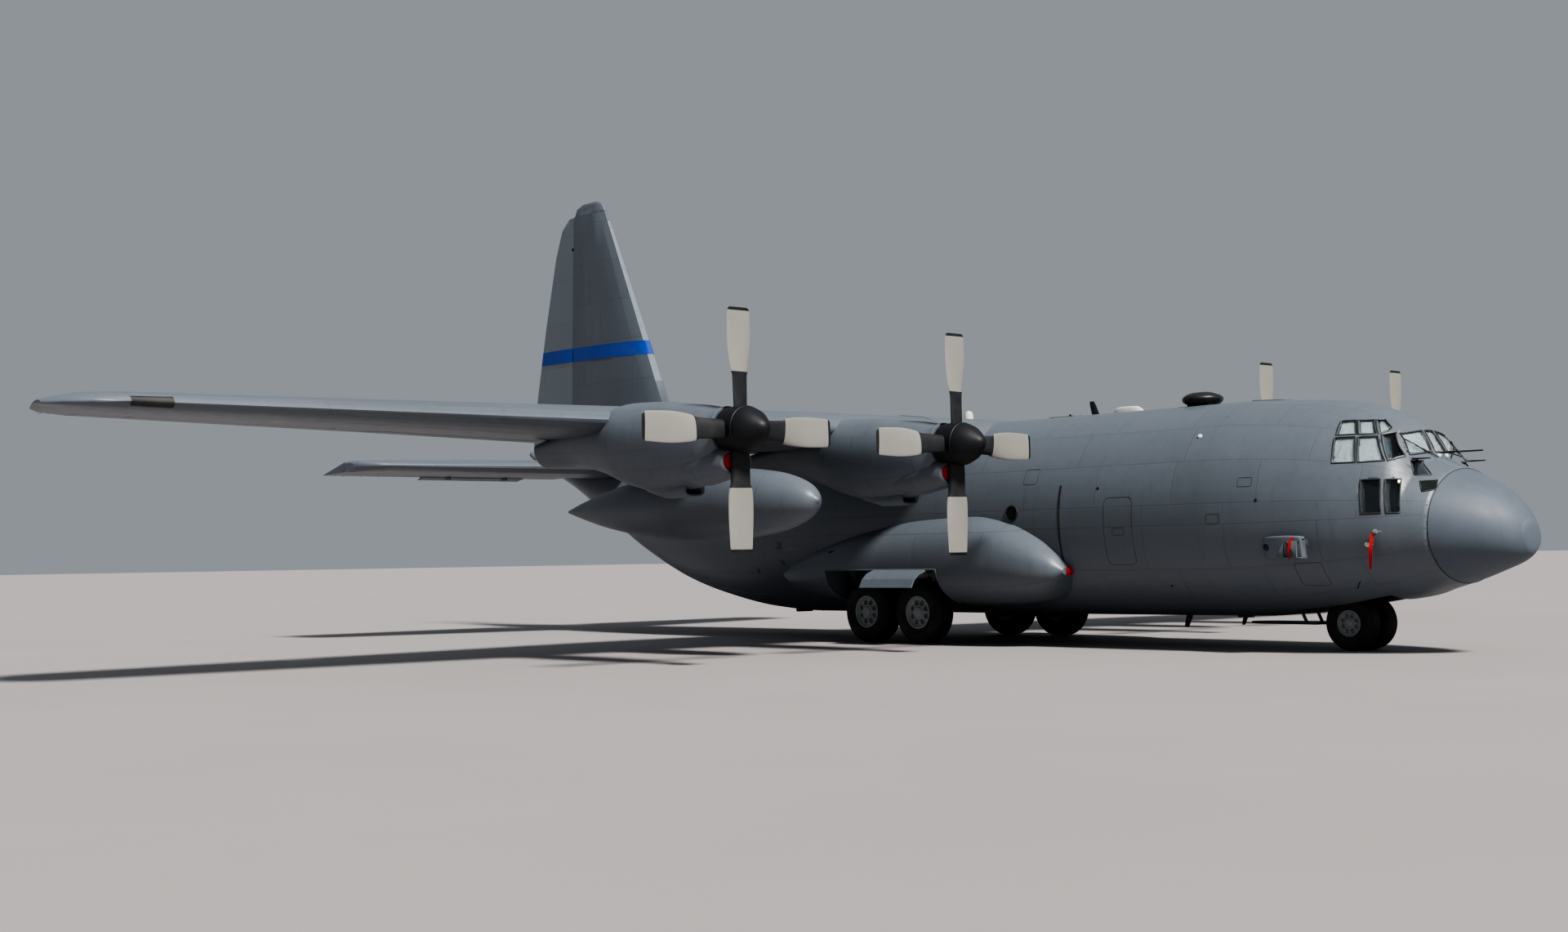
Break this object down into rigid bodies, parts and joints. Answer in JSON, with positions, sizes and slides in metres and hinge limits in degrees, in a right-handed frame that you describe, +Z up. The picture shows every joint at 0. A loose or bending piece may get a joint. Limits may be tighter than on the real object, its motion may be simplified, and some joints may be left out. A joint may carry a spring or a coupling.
{
  "type": "four-engine turboprop military transport plane, half-scale model",
  "caption": "High-wing four-engine turboprop transport aircraft at half scale, parked on its wheels, with turning propellers, steering nose wheels, doors, ramp, flaps and control surfaces.",
  "frame": {"origin": "on the ground under the middle of the aircraft's length and span", "axes": "+X towards the nose, +Y towards the left wing tip, +Z up"},
  "size_m": [14.8943, 20.2, 5.8],
  "materials": {
    "grey_paint": "semi-matt, weathered",
    "radome": "matt paint",
    "pale_paint": "semi-matt",
    "blades": "satin",
    "interior": "matt",
    "tyre": "matt rubber",
    "glass": "clear",
    "strut": "satin",
    "dark_metal": "rough",
    "black_plastic": "satin"
  },
  "bodies": {
    "airframe": {"nose_radome": "radome", "flight_deck_shell": "grey_paint", "forward_fuselage_shell": "grey_paint", "centre_fuselage_shell": "grey_paint", "aft_fuselage_shell": "grey_paint", "tail_cone": "grey_paint", "cargo_floor": "interior", "flight_deck_interior": "interior", "flight_deck_glazing": "glass", "wing_centre": "grey_paint", "tailplane": "grey_paint", "fin": "grey_paint", "nose_gear_leg": "strut", "nose_gear_door": "grey_paint", "roof_aerial_dome": "black_plastic", "paratroop_door_left": "grey_paint", "wing_left": "grey_paint", "fuel_tank_left": "grey_paint", "sponson_left": "grey_paint", "main_gear_door_left": "pale_paint", "main_gear_leg_left": "strut", "paratroop_door_right": "grey_paint", "wing_right": "grey_paint", "fuel_tank_right": "grey_paint", "sponson_right": "grey_paint", "main_gear_door_right": "pale_paint", "main_gear_leg_right": "strut", "nacelle_1": "grey_paint", "engine_1": "dark_metal", "nacelle_2": "grey_paint", "engine_2": "dark_metal", "nacelle_3": "grey_paint", "engine_3": "dark_metal", "nacelle_4": "grey_paint", "engine_4": "dark_metal"},
    "propeller_1": {"propeller_1": "blades"},
    "propeller_2": {"propeller_2": "blades"},
    "propeller_3": {"propeller_3": "blades"},
    "propeller_4": {"propeller_4": "blades"},
    "main_wheel_front_left": {"main_wheel_front_left": "tyre"},
    "main_wheel_rear_left": {"main_wheel_rear_left": "tyre"},
    "main_wheel_front_right": {"main_wheel_front_right": "tyre"},
    "main_wheel_rear_right": {"main_wheel_rear_right": "tyre"},
    "nose_gear_fork": {"nose_gear_fork": "strut"},
    "nose_wheels": {"nose_wheels": "tyre"},
    "crew_door": {"crew_door": "grey_paint"},
    "cargo_ramp": {"cargo_ramp": "grey_paint"},
    "cargo_door": {"cargo_door": "grey_paint"},
    "rudder": {"rudder": "pale_paint"},
    "flap_inner_left": {"flap_inner_left": "grey_paint"},
    "flap_outer_left": {"flap_outer_left": "grey_paint"},
    "aileron_left": {"aileron_left": "grey_paint"},
    "elevator_left": {"elevator_left": "grey_paint"},
    "flap_inner_right": {"flap_inner_right": "grey_paint"},
    "flap_outer_right": {"flap_outer_right": "grey_paint"},
    "aileron_right": {"aileron_right": "grey_paint"},
    "elevator_right": {"elevator_right": "grey_paint"}
  },
  "joints": [
    {"name": "propeller_1_spin", "type": "hinge", "parent": "airframe", "child": "propeller_1", "pos_m": [3.1375, 5.085, 1.99], "axis": [1, 0, 0], "continuous": true},
    {"name": "propeller_2_spin", "type": "hinge", "parent": "airframe", "child": "propeller_2", "pos_m": [3.1375, 2.47, 1.94], "axis": [1, 0, 0], "continuous": true},
    {"name": "propeller_3_spin", "type": "hinge", "parent": "airframe", "child": "propeller_3", "pos_m": [3.1375, -2.47, 1.94], "axis": [1, 0, 0], "continuous": true},
    {"name": "propeller_4_spin", "type": "hinge", "parent": "airframe", "child": "propeller_4", "pos_m": [3.1375, -5.085, 1.99], "axis": [1, 0, 0], "continuous": true},
    {"name": "main_wheel_front_left_spin", "type": "hinge", "parent": "airframe", "child": "main_wheel_front_left", "pos_m": [1.3375, 1.085, 0.33], "axis": [0, 1, 0], "continuous": true},
    {"name": "main_wheel_rear_left_spin", "type": "hinge", "parent": "airframe", "child": "main_wheel_rear_left", "pos_m": [0.5775, 1.085, 0.33], "axis": [0, 1, 0], "continuous": true},
    {"name": "main_wheel_front_right_spin", "type": "hinge", "parent": "airframe", "child": "main_wheel_front_right", "pos_m": [1.3375, -1.085, 0.33], "axis": [0, 1, 0], "continuous": true},
    {"name": "main_wheel_rear_right_spin", "type": "hinge", "parent": "airframe", "child": "main_wheel_rear_right", "pos_m": [0.5775, -1.085, 0.33], "axis": [0, 1, 0], "continuous": true},
    {"name": "nose_steering", "type": "hinge", "parent": "airframe", "child": "nose_gear_fork", "pos_m": [5.7875, 0, 0.5], "axis": [0, 0, 1], "range_deg": [-60, 60]},
    {"name": "nose_wheels_spin", "type": "hinge", "parent": "nose_gear_fork", "child": "nose_wheels", "pos_m": [5.7875, 0, 0.2475], "axis": [0, 1, 0], "continuous": true},
    {"name": "crew_door_hinge", "type": "hinge", "parent": "airframe", "child": "crew_door", "pos_m": [5.1375, 0.71, 0.4825], "axis": [-1, 0, 0], "range_deg": [0, 92]},
    {"name": "cargo_ramp_hinge", "type": "hinge", "parent": "airframe", "child": "cargo_ramp", "pos_m": [-1.499, 0, 0.3075], "axis": [0, -1, 0], "range_deg": [0, 20]},
    {"name": "cargo_door_hinge", "type": "hinge", "parent": "airframe", "child": "cargo_door", "pos_m": [-4.81, 0, 1.465], "axis": [0, -1, 0], "range_deg": [0, 38]},
    {"name": "rudder_hinge", "type": "hinge", "parent": "airframe", "child": "rudder", "pos_m": [-6.3275, 0, 4], "axis": [0, 0, 1], "range_deg": [-35, 35]},
    {"name": "flap_inner_left_track", "type": "hinge", "parent": "airframe", "child": "flap_inner_left", "pos_m": [0.01447, 2, 1.50739], "axis": [0, -1, 0], "range_deg": [0, 36]},
    {"name": "flap_outer_left_track", "type": "hinge", "parent": "airframe", "child": "flap_outer_left", "pos_m": [0.01558, 2.815, 1.50814], "axis": [-0.0739, -0.9973, 0], "range_deg": [0, 36]},
    {"name": "aileron_left_hinge", "type": "hinge", "parent": "airframe", "child": "aileron_left", "pos_m": [0.24922, 6.84, 2.15683], "axis": [-0.0819, -0.9966, -0.0036], "range_deg": [-25, 15]},
    {"name": "elevator_left_hinge", "type": "hinge", "parent": "airframe", "child": "elevator_left", "pos_m": [-5.5525, 2, 2.095], "axis": [0, -1, 0], "range_deg": [-48, 7]},
    {"name": "flap_inner_right_track", "type": "hinge", "parent": "airframe", "child": "flap_inner_right", "pos_m": [0.01447, -2, 1.50739], "axis": [0, -1, 0], "range_deg": [0, 36]},
    {"name": "flap_outer_right_track", "type": "hinge", "parent": "airframe", "child": "flap_outer_right", "pos_m": [0.01558, -2.815, 1.50814], "axis": [0.0739, -0.9973, 0], "range_deg": [0, 36]},
    {"name": "aileron_right_hinge", "type": "hinge", "parent": "airframe", "child": "aileron_right", "pos_m": [0.24922, -6.84, 2.15683], "axis": [0.0819, -0.9966, 0.0036], "range_deg": [-25, 15]},
    {"name": "elevator_right_hinge", "type": "hinge", "parent": "airframe", "child": "elevator_right", "pos_m": [-5.5525, -2, 2.095], "axis": [0, -1, 0], "range_deg": [-48, 7]}
  ]
}
